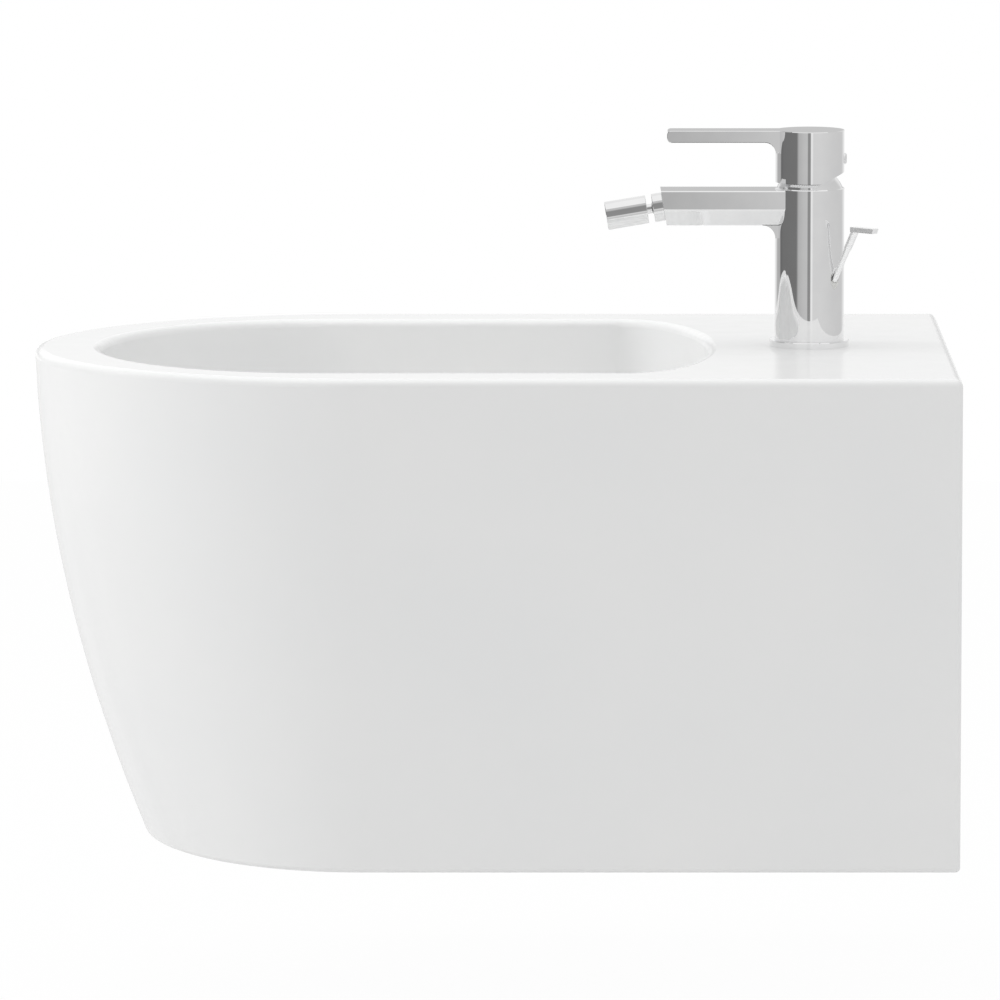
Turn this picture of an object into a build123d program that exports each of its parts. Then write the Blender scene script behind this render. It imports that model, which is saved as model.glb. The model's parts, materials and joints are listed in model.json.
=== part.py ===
from build123d import *
from math import cos, radians, sin, sqrt, tan
import os

os.makedirs("parts", exist_ok=True)

# Wall-hung bidet with a single-lever tap and a pop-up waste.
# Origin midway between the two wall bolts, in the back face that meets the wall.
# +X points into the wall, -X to the front, +Z up. All sizes in millimetres.

# Ceramic body: a "drop" is a distance below the rim
projection = 570.0
body_width = 370.0
body_height = 302.5
bolt_drop = 80.0
bolt_spacing = 180.0
front_start = 365.0
front_lean = 10.0
front_curve = 58.0
skirt_wall = 12.0
deck_thickness = 16.0
back_web = 22.0
back_web_depth = 128.0
rim_round = 5.0
foot_round = 3.0
back_edge_round = 3.0
section_count = 5

# Bowl
bowl_front = 529.0
bowl_rear = 150.0
bowl_half_width = 147.0
bowl_front_start = 393.0
bowl_rear_start = 205.0
bowl_depth = 124.0
bowl_wall = 11.0
drain_x = -225.0
floor_front = 75.0
floor_rear = 45.0
floor_half_width = 45.0
floor_front_run = 25.0
floor_rear_run = 5.0
front_fullness = 2.4
side_fullness = 3.0
rear_fullness = 4.0
bowl_section_shares = (0, 0.3, 0.55, 0.75, 0.9, 0.98, 1)

# Drain hole, its boss and the overflow duct behind the bowl
drain_hole_r = 23.0
drain_boss_r = 37.0
drain_boss_depth = 21.0
flange_r = 31.5
flange_thickness = 2.5
flange_below_floor = 0.5
flange_recess_gap = 1.0
waste_seal_thickness = 1.5
overflow_r = 8.5
overflow_drop = 54.0
duct_bore_width = 18.0
duct_bore_depth = 11.0
duct_bore_height = 8.0
duct_wall = 8.0

# Wall bolt bushes
bolt_hole_r = 8.0
bush_clearance = 0.1
bush_bore_r = 6.25
bush_flange_r = 14.0
bush_flange_thickness = 3.0

# Tap: a "height" is a distance above the deck
tap_x = -87.4
tap_hole_r = 17.5
base_ring_r = 24.8
base_ring_height = 4.0
base_ring_edge = 0.5
base_seal_inner_r = 20.5
base_seal_outer_r = 23.5
base_seal_height = 1.8
tap_r = 21.6
tap_top = 99.0
spigot_r = 18.6
spigot_gap = 0.3
spigot_foot = 0.4
edge_break = 0.6

# Spout
spout_top = 98.0
spout_bottom = 76.0
spout_belt = 86.0
spout_width = 30.0
spout_keel_width = 18.0
spout_reach = 91.0
spout_root_round = 8.0
spout_bore_r = 3.5
spout_bore_height = 81.5
aerator_height = 87.0
aerator_tilt = 9.5

# Water inlets and mounting stud in the foot of the tap
inlet_x = -3.5
inlet_y = 9.0
inlet_r = 4.5
inlet_depth = 12.0
waterway_r = 4.2
passage_r = 3.0
stud_x = -13.5
stud_r = 3.0
stud_socket_depth = 12.0
stud_length = 62.0
thread_clearance = 0.05

# Under-deck fixing
under_gasket_thickness = 3.0
horseshoe_thickness = 2.5
horseshoe_r = 25.0
horseshoe_web = 9.4
horseshoe_gap = 30.0
mount_nut_flats = 10.0
mount_nut_height = 14.0

# Cartridge: heights above the deck
chamber_r = 18.0
chamber_floor = 62.0
housing_r = 17.7
housing_waist_r = 16.0
housing_base = 4.0
housing_shoulder = 84.0
housing_flange = 3.0
housing_neck_r = 11.5
housing_top = 95.0
housing_cavity_r = 14.5
housing_cavity_top = 80.0
disc_thickness = 3.0
fixed_disc_r = 14.2
moving_disc_r = 8.8
mixing_slot_length = 12.3
driver_r = 8.4
driver_thickness = 4.6
rotor_r = 9.0
rotor_flange_r = 14.1
rotor_flange = 2.9
shaft_clearance = 0.07
part_gap = 0.3
pivot_height = 90.0
pivot_pin_r = 1.5
stem_width = 5.0
stem_depth = 6.4
stem_top = 121.0
stem_ball_r = 2.7
stem_ball_height = 75.6
stem_neck_r = 2.2
socket_clearance = 0.35
nut_bore_gap = 0.3
nut_top = 96.0
nut_notch_count = 6
nut_notch_width = 4.0
nut_notch_depth = 3.0

# Dome cover and lever handle
dome_r = 22.5
dome_shell = 1.4
dome_hole_r = 13.0
dome_eye_r = 11.8
dome_foot_width = 3.0
handle_r = 21.5
handle_bottom = 102.5
handle_top = 135.0
handle_dome_gap = 0.5
handle_cut_margin = 1.0
lift_angle = 22.0
lift_clearance = 0.6
lever_reach = 89.0
lever_width = 20.0
lever_thickness = 7.3
lever_round = 2.6
lever_root_round = 7.0
grub_height = 117.0
grub_r = 2.5
grub_length = 9.0
grub_key_flats = 2.5
grub_key_depth = 3.0
plug_r = 3.6
plug_length = 4.0
plug_bulge = 1.45
plug_dome = 1.3

# Ball-jointed nozzle, measured along its axis from the end face of the spout
collar_r = 8.9
collar_length = 6.6
collar_thread_r = 7.9
collar_thread_length = 8.0
ball_r = 5.6
ball_offset = 2.6
ball_clearance = 0.1
collar_mouth_r = 4.7
seat_r = 6.2
seat_length = 6.5
seat_bore_r = 2.6
neck_r = 3.0
neck_bore_r = 1.8
nozzle_gap = 3.7
nozzle_r = 8.8
nozzle_length = 25.8
nozzle_wall = 1.6
nozzle_back = 2.6
stub_length = 5.0
insert_thickness = 2.0
insert_recess = 0.8
jet_r = 0.7
jet_ring_counts = (6, 12)
jet_ring_step = 2.3

# Pop-up lift rod: slants outward and backward from inside the tap
rod_angle = 29.0
rod_turn = -45.0
rod_exit_height = 43.5
rod_r = 1.95
rod_foot_height = 13.0
lift_travel = 18.0
guide_r = 3.2
guide_low = 34.5
guide_high = 42.0
crosspin_r = 1.6
crosspin_start = -1.0
rod_foot_overrun = 1.9
knob_leg_r = 2.4
knob_leg_height = 63.0
knob_top = 76.8
knob_tab_thickness = 3.0
knob_tab_width = 5.0
knob_inner_r = 36.6
knob_outer_r = 56.0
knob_tip_slant = 1.0

# Pull rod with its slotted yoke head
pull_rod_r = 2.0
yoke_thickness = 2.0
yoke_offset = 2.4
yoke_slot_clearance = 0.25
yoke_wall = 1.8
pocket_margin = 0.9
pocket_ceiling_gap = 1.2
pull_rod_above_port = 14.0

# Link between pull rod and pivot rod
link_boss_r = 5.2
link_boss_length = 14.0
link_width = 13.0
link_length = 11.0
link_cheek = 2.0
link_bridge = 4.0
link_foot = 5.0
link_hole_clearance = 0.9
link_screw_r = 1.5
link_screw_length = 6.5

# Waste fitting under the bowl, stacked downwards from the drain boss
waste_tube_r = 21.0
waste_bore_r = 18.0
cone_gasket_height = 8.0
cone_gasket_r = 30.0
backnut_height = 8.0
backnut_flats = 56.0
waste_body_gap = 2.0
waste_body_r = 25.0
waste_tube_grip = 9.0
waste_socket_depth = 10.0
port_below_top = 25.0
port_above_foot = 24.0
tail_r = 16.0
tail_wall = 1.5
tail_spigot_r = 15.4
tail_shoulder_gap = 2.0
tail_showing = 50.0
port_boss_r = 11.0
port_boss_reach = 36.0
pivot_ball_r = 5.2
pivot_ball_offset = 31.0
port_bore_r = 6.3
port_throat_r = 4.2
pivot_seat_length = 5.0
pivot_nut_r = 13.5
pivot_nut_length = 10.0
pivot_nut_grip = 5.0
pivot_rod_r = 2.5
pivot_tip_r = 2.0
pivot_overrun = 12.0
pivot_tip_overrun = 5.0

# Stopper
stopper_r = 24.0
stopper_height = 4.5
stopper_dome = 3.15
stopper_seal_r = 19.0
stopper_seal_thickness = 2.0
stopper_seat_gap = 0.3
stopper_stem_r = 3.0
vane_reach = 17.6
vane_thickness = 2.0
vane_height = 22.0
eye_width = 9.0
eye_thickness = 4.0
eye_clearance = 0.9
eye_margin = 2.6

# Worked-out values
half_width = body_width / 2
deck = bolt_drop
boss_end = bowl_depth + drain_boss_depth
backnut_top = boss_end + cone_gasket_height
waste_body_top_drop = backnut_top + backnut_height + waste_body_gap
waste_tube_end_drop = waste_body_top_drop + waste_tube_grip
port_drop = waste_body_top_drop + port_below_top
waste_body_end_drop = port_drop + port_above_foot
tail_end_drop = waste_body_end_drop + tail_showing
pull_rod_end_drop = port_drop - pull_rod_above_port
rod_lean = tan(radians(rod_angle))
rod_rise = cos(radians(rod_angle))
rod_drift = sin(radians(rod_angle))
rod_foot_r = tap_r - (rod_exit_height - rod_foot_height) * rod_lean
yoke_r = rod_foot_r + lift_travel * rod_drift / 2
yoke_centre = yoke_offset + yoke_thickness / 2
yoke_half_height = crosspin_r + yoke_slot_clearance + yoke_wall
yoke_half_length = yoke_half_height + lift_travel * rod_drift / 2
pull_travel = lift_travel * rod_rise


# Height above the wall bolts of a point that lies a given distance below the rim
def at_drop(drop):
    return bolt_drop - drop


# Front tip of the outer wall at a given distance below the rim
def front_reach(drop):
    share = drop / body_height
    return projection - front_lean * share - front_curve * share**2


# Half-ellipse front of the body at a given drop, inset from the outer wall
def front_outline(drop, inset):
    reach = front_reach(drop) - inset
    side = half_width - inset
    with BuildLine() as outline:
        EllipticalCenterArc((-front_start, 0), reach - front_start, side, 90, arc_size=180)
        Line((-front_start, -side), (-front_start, side))
    return outline.line


# Share of the rim's size that the bowl keeps at a share of its depth
def bowl_share(depth_share, fullness):
    return sqrt(max(0.0, 1 - depth_share**fullness))


# Outline of the bowl at a share of its depth, grown outwards for its outer face
def bowl_outline(depth_share, grow):
    front = bowl_share(depth_share, front_fullness)
    side = bowl_share(depth_share, side_fullness)
    rear = bowl_share(depth_share, rear_fullness)
    floor_tip = -drain_x + floor_front
    floor_back = -drain_x - floor_rear
    front_tip = floor_tip + (bowl_front - floor_tip) * front + grow
    rear_tip = floor_back + (bowl_rear - floor_back) * rear - grow
    half = floor_half_width + (bowl_half_width - floor_half_width) * side + grow
    front_run = -drain_x + floor_front_run
    rear_run = -drain_x - floor_rear_run
    x_front = front_run + (bowl_front_start - front_run) * front
    x_rear = rear_run + (bowl_rear_start - rear_run) * rear
    with BuildLine() as outline:
        Line((-x_rear, half), (-x_front, half))
        EllipticalCenterArc((-x_front, 0), front_tip - x_front, half, 90, arc_size=180)
        Line((-x_front, -half), (-x_rear, -half))
        EllipticalCenterArc((-x_rear, 0), x_rear - rear_tip, half, -90, arc_size=180)
    return outline.line


# Plane that holds the slanted lift rod's axis: x outwards from the tap, y up
def rod_side_plane():
    turn = radians(rod_turn)
    outward = (cos(turn), sin(turn), 0)
    across = (sin(turn), -cos(turn), 0)
    return Plane(origin=(tap_x, 0, deck), x_dir=outward, z_dir=across)


# Plane square to the lift rod where its axis reaches a given height above the deck
def rod_cross_plane(height):
    turn = radians(rod_turn)
    reach = tap_r - (rod_exit_height - height) * rod_lean
    origin = (tap_x + reach * cos(turn), reach * sin(turn), deck + height)
    along = (rod_drift * cos(turn), rod_drift * sin(turn), rod_rise)
    return Plane(origin=origin, x_dir=(sin(turn), -cos(turn), 0), z_dir=along)


# Point at a distance out along the rod's plane and across it, from the tap's axis
def rod_point(outward, across, height):
    turn = radians(rod_turn)
    x = tap_x + outward * cos(turn) - across * sin(turn)
    y = outward * sin(turn) + across * cos(turn)
    return (x, y, deck + height)


# Plane square to the nozzle's axis, a given distance out from the spout's end face
def nozzle_plane(distance):
    tilt = radians(aerator_tilt)
    along = (-cos(tilt), 0, -sin(tilt))
    x = tap_x - spout_reach + along[0] * distance
    z = deck + aerator_height + along[2] * distance
    return Plane(origin=(x, 0, z), x_dir=(0, 1, 0), z_dir=along)


tap_plane = Plane(origin=(tap_x, 0, deck))
tap_section = Plane(origin=(tap_x, 0, deck), x_dir=(1, 0, 0), z_dir=(0, -1, 0))


# Ceramic body: skirt, deck, back web, bowl, drain boss and overflow duct
drain_floor = bowl_depth + flange_below_floor + flange_thickness + waste_seal_thickness
duct_back = bowl_rear - bowl_wall - duct_bore_depth
with BuildPart() as ceramic_body:
    for step in range(section_count):
        drop = body_height * step / (section_count - 1)
        with BuildSketch(Plane.XY.offset(at_drop(drop))):
            add(front_outline(drop, 0))
            make_face()
    loft()
    with BuildSketch(Plane.XY.offset(at_drop(body_height))):
        Rectangle(front_start, body_width, align=(Align.MAX, Align.CENTER))
    extrude(amount=body_height)
    back_face = ceramic_body.faces().sort_by(Axis.X)[-1]
    fillet(back_face.edges().filter_by(Axis.Z), back_edge_round)
    fillet(ceramic_body.faces().sort_by(Axis.Z)[-1].edges(), rim_round)
    fillet(ceramic_body.faces().sort_by(Axis.Z)[0].edges(), foot_round)
    for step in range(section_count):
        drop = deck_thickness + (body_height - deck_thickness) * step / (section_count - 1)
        with BuildSketch(Plane.XY.offset(at_drop(drop))):
            add(front_outline(drop, skirt_wall))
            make_face()
    loft(mode=Mode.SUBTRACT)
    with BuildSketch(Plane.XY.offset(at_drop(body_height))):
        with Locations((-back_web, 0)):
            hollow_width = body_width - 2 * skirt_wall
            Rectangle(front_start - back_web, hollow_width, align=(Align.MAX, Align.CENTER))
    extrude(amount=body_height - deck_thickness, mode=Mode.SUBTRACT)
    with BuildSketch(Plane.YZ):
        with Locations((0, (at_drop(back_web_depth) + at_drop(body_height)) / 2)):
            Rectangle(body_width - 2 * skirt_wall, body_height - back_web_depth)
    extrude(amount=-back_web, mode=Mode.SUBTRACT)
    for share in bowl_section_shares:
        with BuildSketch(Plane.XY.offset(at_drop(bowl_depth * share + bowl_wall * share))):
            add(bowl_outline(share, bowl_wall))
            make_face()
    loft()
    with BuildSketch(Plane.XY.offset(at_drop(boss_end))):
        with Locations((drain_x, 0)):
            Circle(drain_boss_r)
    extrude(amount=drain_boss_depth)
    duct_front = -duct_back - duct_bore_depth - bowl_wall / 2
    with BuildSketch(Plane.XZ.offset(-duct_bore_width / 2 - duct_wall)):
        with BuildLine():
            Polyline(
                (-duct_back + duct_wall, at_drop(overflow_drop - overflow_r - duct_wall)),
                (-duct_back + duct_wall, at_drop(boss_end)),
                (drain_x, at_drop(boss_end)),
                (drain_x, at_drop(bowl_depth)),
                (duct_front, at_drop(overflow_drop + overflow_r)),
                (duct_front, at_drop(overflow_drop - overflow_r - duct_wall)),
                close=True,
            )
        make_face()
    extrude(amount=duct_bore_width + 2 * duct_wall)
    for share in bowl_section_shares:
        with BuildSketch(Plane.XY.offset(at_drop(bowl_depth * share))):
            add(bowl_outline(share, 0))
            make_face()
    loft(mode=Mode.SUBTRACT)
    bowl_edges = ceramic_body.faces().sort_by(Axis.Z)[-1].inner_wires()[0].edges()
    fillet(bowl_edges, rim_round)
    with BuildSketch(Plane.XZ.offset(-duct_bore_width / 2)):
        with BuildLine():
            Polyline(
                (-duct_back, at_drop(overflow_drop - overflow_r)),
                (-duct_back, at_drop(drain_floor + duct_wall / 2 + duct_bore_height)),
                (drain_x, at_drop(drain_floor + duct_wall / 2 + duct_bore_height)),
                (drain_x, at_drop(drain_floor + duct_wall / 2)),
                (-duct_back - duct_bore_depth, at_drop(drain_floor + duct_wall / 2)),
                (-duct_back - duct_bore_depth, at_drop(overflow_drop - overflow_r)),
                close=True,
            )
        make_face()
    extrude(amount=duct_bore_width, mode=Mode.SUBTRACT)
    with BuildSketch(Plane.YZ.offset(-bowl_rear - bowl_wall)):
        with Locations((0, at_drop(overflow_drop))):
            Circle(overflow_r)
    extrude(amount=bowl_wall * 2, mode=Mode.SUBTRACT)
    with BuildSketch(Plane.XY.offset(at_drop(drain_floor))):
        with Locations((drain_x, 0)):
            Circle(flange_r + flange_recess_gap)
    extrude(amount=bowl_depth, mode=Mode.SUBTRACT)
    with BuildSketch(Plane.XY.offset(at_drop(boss_end))):
        with Locations((drain_x, 0)):
            Circle(drain_hole_r)
    extrude(amount=drain_boss_depth, mode=Mode.SUBTRACT)
    with BuildSketch(tap_plane):
        Circle(tap_hole_r)
    extrude(amount=-deck_thickness, mode=Mode.SUBTRACT)
    with BuildSketch(Plane.YZ):
        with GridLocations(bolt_spacing, 0, 2, 1):
            Circle(bolt_hole_r)
    extrude(amount=-back_web, mode=Mode.SUBTRACT)
ceramic_body.part.label = "ceramic_body"
export_step(ceramic_body.part, "parts/ceramic_body.step")

# Flanged plastic bushes in the two wall bolt holes
with BuildPart() as bolt_bushes:
    with BuildSketch(Plane.YZ):
        with GridLocations(bolt_spacing, 0, 2, 1):
            Circle(bolt_hole_r - bush_clearance)
    extrude(amount=-back_web)
    with BuildSketch(Plane.YZ.offset(-back_web)):
        with GridLocations(bolt_spacing, 0, 2, 1):
            Circle(bush_flange_r)
    extrude(amount=-bush_flange_thickness)
    with BuildSketch(Plane.YZ):
        with GridLocations(bolt_spacing, 0, 2, 1):
            Circle(bush_bore_r)
    extrude(amount=-back_web - bush_flange_thickness, mode=Mode.SUBTRACT)
bolt_bushes.part.label = "bolt_bushes"
export_step(bolt_bushes.part, "parts/bolt_bushes.step")

# Tap body: column, spout with keel, cartridge chamber, water ways and rod pocket
spout_plane = Plane.YZ.offset(tap_x)
chamber_depth = tap_top - chamber_floor
pocket_low = rod_foot_r - crosspin_r - yoke_slot_clearance - yoke_wall - pocket_margin
pocket_high = 2 * yoke_r - pocket_low
pocket_top = rod_foot_height + pull_travel + yoke_half_height + pocket_ceiling_gap
pocket_side_low = -rod_r - pocket_margin
pocket_side_high = yoke_centre + pull_rod_r + pocket_margin
with BuildPart() as tap_body:
    with BuildSketch(tap_plane.offset(base_ring_height)):
        Circle(tap_r)
    extrude(amount=tap_top - base_ring_height)
    with BuildSketch(spout_plane):
        with BuildLine():
            Polyline(
                (-spout_width / 2, deck + spout_top),
                (spout_width / 2, deck + spout_top),
                (spout_width / 2, deck + spout_belt),
                (spout_keel_width / 2, deck + spout_bottom),
                (-spout_keel_width / 2, deck + spout_bottom),
                (-spout_width / 2, deck + spout_belt),
                close=True,
            )
        make_face()
    extrude(amount=-spout_reach - spout_width / 2)
    split(bisect_by=nozzle_plane(0), keep=Keep.BOTTOM)
    spout_edges = tap_body.edges().filter_by(Axis.X).filter_by(lambda e: e.length > spout_reach / 2)
    chamfer(spout_edges, edge_break)
    with BuildSketch(Plane.XZ.offset(-spout_keel_width / 2)):
        with BuildLine():
            root_x = tap_x - tap_r
            root_z = deck + spout_bottom
            Line((root_x + spout_root_round, root_z), (root_x - spout_root_round, root_z))
            RadiusArc(
                (root_x - spout_root_round, root_z),
                (root_x, root_z - spout_root_round),
                spout_root_round,
            )
            Line((root_x, root_z - spout_root_round), (root_x + spout_root_round, root_z - spout_root_round))
            Line((root_x + spout_root_round, root_z - spout_root_round), (root_x + spout_root_round, root_z))
        make_face()
    extrude(amount=spout_keel_width)
    chamfer(tap_body.faces().sort_by(Axis.Z)[-1].edges(), edge_break)
    with BuildSketch(tap_plane.offset(spigot_foot)):
        Circle(spigot_r)
    extrude(amount=base_ring_height - spigot_foot)
    with BuildSketch(tap_plane.offset(tap_top)):
        Circle(chamber_r)
    extrude(amount=-chamber_depth, mode=Mode.SUBTRACT)
    with BuildSketch(nozzle_plane(0)):
        Circle(collar_thread_r + thread_clearance)
    extrude(amount=-collar_thread_length - part_gap, mode=Mode.SUBTRACT)
    with BuildSketch(spout_plane):
        with Locations((0, deck + spout_bore_height)):
            Circle(spout_bore_r)
    extrude(amount=-spout_reach + collar_thread_length / 2, mode=Mode.SUBTRACT)
    with BuildSketch(tap_plane.offset(spigot_foot)):
        with Locations((inlet_x, inlet_y), (inlet_x, -inlet_y)):
            Circle(inlet_r)
    extrude(amount=inlet_depth, mode=Mode.SUBTRACT)
    with BuildSketch(tap_plane.offset(spigot_foot)):
        with Locations((inlet_x, inlet_y), (inlet_x, -inlet_y)):
            Circle(waterway_r)
    extrude(amount=chamber_floor - spigot_foot, mode=Mode.SUBTRACT)
    with BuildSketch(tap_plane.offset(spigot_foot)):
        with Locations((stud_x, 0)):
            Circle(stud_r + thread_clearance)
    extrude(amount=stud_socket_depth, mode=Mode.SUBTRACT)
    with BuildSketch(rod_side_plane().offset(-pocket_side_high)):
        with Locations(((pocket_low + pocket_high) / 2, pocket_top / 2)):
            Rectangle(pocket_high - pocket_low, pocket_top)
    extrude(amount=pocket_side_high - pocket_side_low, mode=Mode.SUBTRACT)
    with BuildSketch(rod_cross_plane(guide_low)):
        Circle(guide_r + thread_clearance)
    extrude(amount=tap_r, mode=Mode.SUBTRACT)
    with BuildSketch(rod_cross_plane(rod_foot_height)):
        Circle(rod_r + part_gap)
    extrude(amount=guide_low, mode=Mode.SUBTRACT)
tap_body.part.label = "tap_body"
export_step(tap_body.part, "parts/tap_body.step")

# Escutcheon ring under the column, with its seal in a groove
with BuildPart() as base_ring:
    with BuildSketch(tap_plane):
        Circle(base_ring_r)
        Circle(spigot_r + spigot_gap, mode=Mode.SUBTRACT)
    extrude(amount=base_ring_height)
    top_rim = base_ring.faces().sort_by(Axis.Z)[-1].outer_wire().edges()
    chamfer(top_rim, base_ring_edge)
    with BuildSketch(tap_plane):
        Circle(base_seal_outer_r)
        Circle(base_seal_inner_r, mode=Mode.SUBTRACT)
    extrude(amount=base_seal_height, mode=Mode.SUBTRACT)
base_ring.part.label = "base_ring"
export_step(base_ring.part, "parts/base_ring.step")

with BuildPart() as base_seal:
    with BuildSketch(tap_plane):
        Circle(base_seal_outer_r - thread_clearance)
        Circle(base_seal_inner_r + thread_clearance, mode=Mode.SUBTRACT)
    extrude(amount=base_seal_height)
base_seal.part.label = "base_seal"
export_step(base_seal.part, "parts/base_seal.step")

# Plastic guide that carries the lift rod inside the column
with BuildPart() as rod_guide:
    guide_run = (guide_high - guide_low) / rod_rise
    with BuildSketch(rod_cross_plane(guide_low)):
        Circle(guide_r)
        Circle(rod_r + shaft_clearance, mode=Mode.SUBTRACT)
    extrude(amount=guide_run)
rod_guide.part.label = "rod_guide"
export_step(rod_guide.part, "parts/rod_guide.step")


# Horseshoe outline that lets the hoses and the pull rod pass
def horseshoe_outline():
    Circle(horseshoe_r)
    with Locations((-horseshoe_web, 0)):
        gap_length = horseshoe_r + horseshoe_web
        Rectangle(gap_length, horseshoe_gap, align=(Align.MIN, Align.CENTER), mode=Mode.SUBTRACT)
    with Locations((stud_x, 0)):
        Circle(stud_r + part_gap, mode=Mode.SUBTRACT)


# Fixing stud, under-deck gasket, horseshoe washer and nut
stud_start = spigot_foot + stud_socket_depth
with BuildPart() as mounting_stud:
    with BuildSketch(tap_plane.offset(stud_start)):
        with Locations((stud_x, 0)):
            Circle(stud_r)
    extrude(amount=-stud_length)
    chamfer(mounting_stud.faces().sort_by(Axis.Z)[0].edges(), edge_break)
mounting_stud.part.label = "mounting_stud"
export_step(mounting_stud.part, "parts/mounting_stud.step")

under_plane = tap_plane.offset(-deck_thickness)
with BuildPart() as under_gasket:
    with BuildSketch(under_plane):
        horseshoe_outline()
    extrude(amount=-under_gasket_thickness)
under_gasket.part.label = "under_gasket"
export_step(under_gasket.part, "parts/under_gasket.step")

with BuildPart() as horseshoe_washer:
    with BuildSketch(under_plane.offset(-under_gasket_thickness)):
        horseshoe_outline()
    extrude(amount=-horseshoe_thickness)
horseshoe_washer.part.label = "horseshoe_washer"
export_step(horseshoe_washer.part, "parts/horseshoe_washer.step")

nut_plane = under_plane.offset(-under_gasket_thickness - horseshoe_thickness)
with BuildPart() as mounting_nut:
    with BuildSketch(nut_plane):
        with Locations((stud_x, 0)):
            RegularPolygon(mount_nut_flats / 2, 6, major_radius=False)
            Circle(stud_r + thread_clearance, mode=Mode.SUBTRACT)
    extrude(amount=-mount_nut_height)
mounting_nut.part.label = "mounting_nut"
export_step(mounting_nut.part, "parts/mounting_nut.step")

# Cartridge housing: a stepped cup that holds the discs and the rotor
disc_floor = chamber_floor + housing_base
driver_floor = disc_floor + 2 * disc_thickness
rotor_floor = housing_cavity_top - rotor_flange - shaft_clearance
with BuildPart() as cartridge_housing:
    with BuildSketch(tap_plane.offset(chamber_floor)):
        Circle(housing_r)
    extrude(amount=housing_base)
    with BuildSketch(tap_plane.offset(disc_floor)):
        Circle(housing_waist_r)
    extrude(amount=housing_shoulder - disc_floor)
    with BuildSketch(tap_plane.offset(housing_shoulder - housing_flange)):
        Circle(housing_r)
    extrude(amount=housing_flange)
    with BuildSketch(tap_plane.offset(housing_shoulder)):
        Circle(housing_neck_r)
    extrude(amount=housing_top - housing_shoulder)
    with BuildSketch(tap_plane.offset(disc_floor)):
        Circle(housing_cavity_r)
    extrude(amount=housing_cavity_top - disc_floor, mode=Mode.SUBTRACT)
    with BuildSketch(tap_plane.offset(housing_cavity_top)):
        Circle(rotor_r + shaft_clearance)
    extrude(amount=housing_top - housing_cavity_top, mode=Mode.SUBTRACT)
    with BuildSketch(tap_plane.offset(chamber_floor)):
        with Locations((inlet_x, inlet_y), (inlet_x, -inlet_y), (inlet_y, 0)):
            Circle(passage_r)
    extrude(amount=housing_base, mode=Mode.SUBTRACT)
cartridge_housing.part.label = "cartridge_housing"
export_step(cartridge_housing.part, "parts/cartridge_housing.step")

# Ceramic valve discs: the lower one is fixed, the upper one slides with the lever
with BuildPart() as fixed_disc:
    with BuildSketch(tap_plane.offset(disc_floor)):
        Circle(fixed_disc_r)
        with Locations((inlet_x, inlet_y), (inlet_x, -inlet_y), (inlet_y, 0)):
            Circle(passage_r, mode=Mode.SUBTRACT)
    extrude(amount=disc_thickness)
fixed_disc.part.label = "fixed_disc"
export_step(fixed_disc.part, "parts/fixed_disc.step")

with BuildPart() as moving_disc:
    with BuildSketch(tap_plane.offset(disc_floor + disc_thickness)):
        Circle(moving_disc_r)
    extrude(amount=disc_thickness)
    with BuildSketch(tap_plane.offset(disc_floor + disc_thickness)):
        SlotOverall(mixing_slot_length, passage_r * 2)
    extrude(amount=disc_thickness / 2, mode=Mode.SUBTRACT)
moving_disc.part.label = "moving_disc"
export_step(moving_disc.part, "parts/moving_disc.step")

with BuildPart() as disc_driver:
    with BuildSketch(tap_plane.offset(driver_floor)):
        Circle(driver_r)
    extrude(amount=driver_thickness - part_gap)
    with BuildSketch(tap_plane.offset(stem_ball_height - stem_ball_r - socket_clearance)):
        Circle(stem_ball_r + socket_clearance)
    extrude(amount=driver_thickness, mode=Mode.SUBTRACT)
disc_driver.part.label = "disc_driver"
export_step(disc_driver.part, "parts/disc_driver.step")

# Rotor that turns with the lever and carries its pivot pin
lift_slope = tan(radians(lift_angle))
slot_low = pivot_height - rotor_floor
slot_high = housing_top - pivot_height
stem_half = stem_depth / 2 / cos(radians(lift_angle)) + part_gap
with BuildPart() as cartridge_rotor:
    with BuildSketch(tap_plane.offset(rotor_floor)):
        Circle(rotor_flange_r)
    extrude(amount=rotor_flange)
    with BuildSketch(tap_plane.offset(rotor_floor)):
        Circle(rotor_r)
    extrude(amount=housing_top - rotor_floor)
    with BuildSketch(tap_section.offset(-stem_width / 2 - part_gap)):
        with BuildLine():
            Polyline(
                (-stem_half - slot_low * lift_slope, rotor_floor),
                (stem_half, rotor_floor),
                (stem_half, pivot_height),
                (stem_half + slot_high * lift_slope, housing_top),
                (-stem_half, housing_top),
                (-stem_half, pivot_height),
                close=True,
            )
        make_face()
    extrude(amount=stem_width + 2 * part_gap, mode=Mode.SUBTRACT)
    with BuildSketch(tap_section.offset(-rotor_r)):
        with Locations((0, pivot_height)):
            Circle(pivot_pin_r)
    extrude(amount=2 * rotor_r, mode=Mode.SUBTRACT)
cartridge_rotor.part.label = "cartridge_rotor"
export_step(cartridge_rotor.part, "parts/cartridge_rotor.step")

with BuildPart() as pivot_pin:
    pin_half = rotor_r - edge_break
    with BuildSketch(tap_section.offset(-pin_half)):
        with Locations((0, pivot_height)):
            Circle(pivot_pin_r)
    extrude(amount=2 * pin_half)
pivot_pin.part.label = "pivot_pin"
export_step(pivot_pin.part, "parts/pivot_pin.step")

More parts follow.
